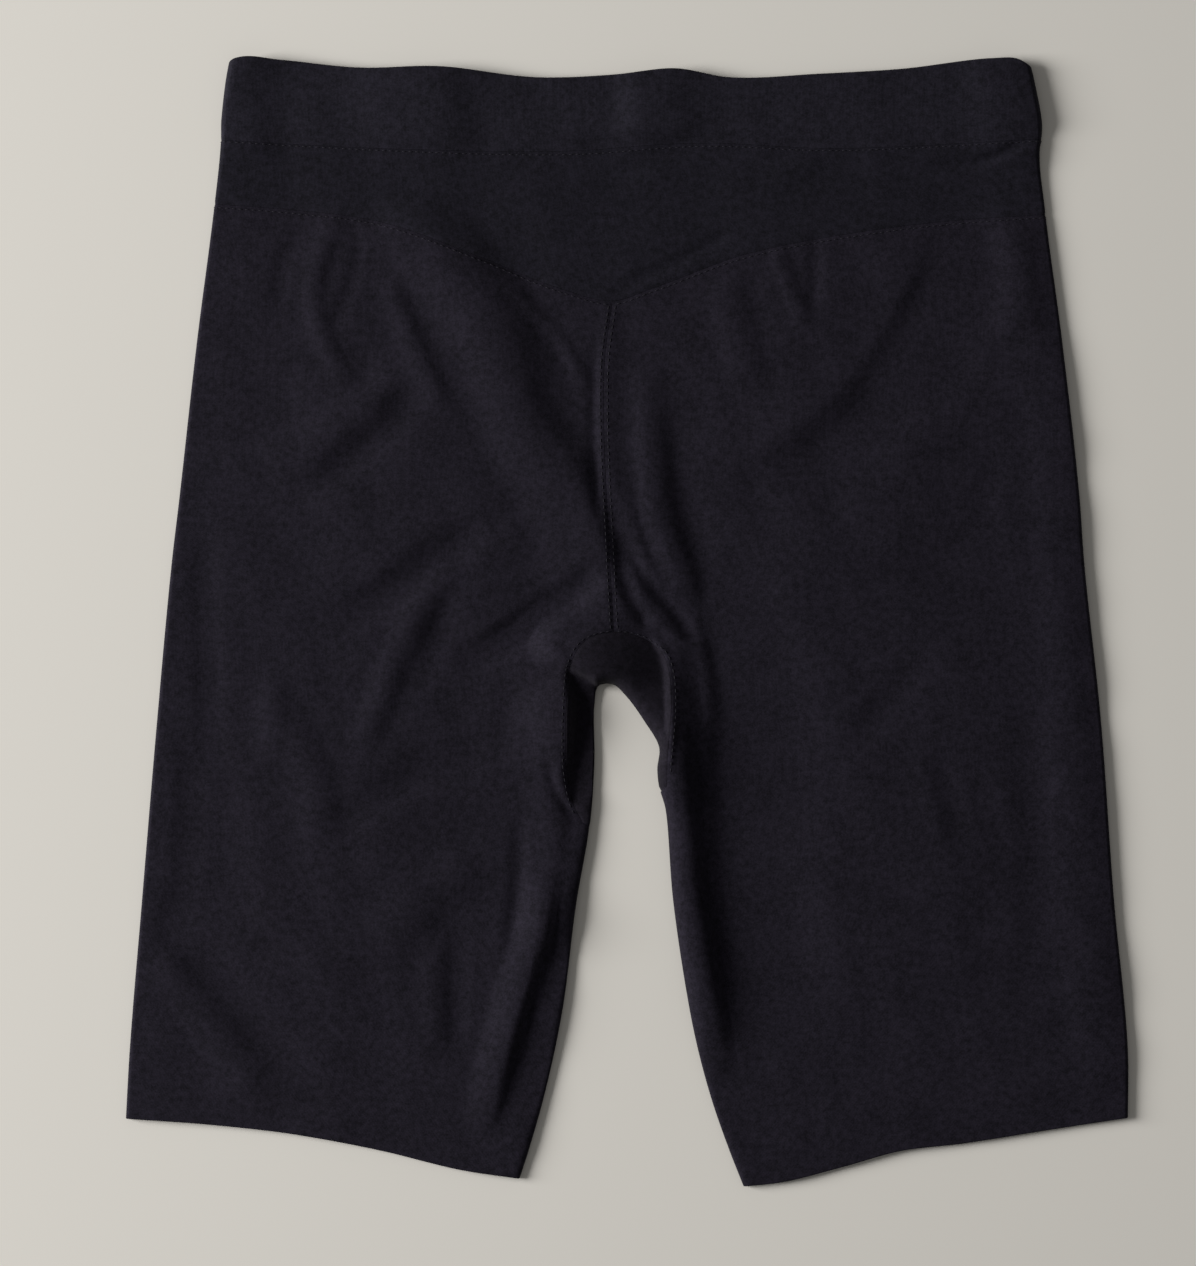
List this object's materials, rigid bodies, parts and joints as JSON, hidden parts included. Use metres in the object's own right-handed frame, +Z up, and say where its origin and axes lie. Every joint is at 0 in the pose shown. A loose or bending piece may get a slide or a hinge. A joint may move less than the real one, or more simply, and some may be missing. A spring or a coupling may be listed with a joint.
{
  "type": "training shorts",
  "caption": "Fitted dark stretch-knit training shorts laid flat with the back up: waistband, V-shaped back yoke, straight legs and a crotch gusset.",
  "frame": {"origin": "middle of the underside of the garment's box, on the surface it lies on", "axes": "+Y towards the waist, +X to the right for someone who looks at the back from above, +Z up"},
  "size_m": [0.4511, 0.5078, 0.0111],
  "materials": {
    "knit": "matte near-black stretch knit with a faint mottle",
    "band": "matte near-black doubled stretch knit over elastic"
  },
  "bodies": {
    "root": {"waistband": "band", "yoke": "knit", "leg_left": "knit", "leg_right": "knit", "gusset": "knit"}
  },
  "joints": []
}
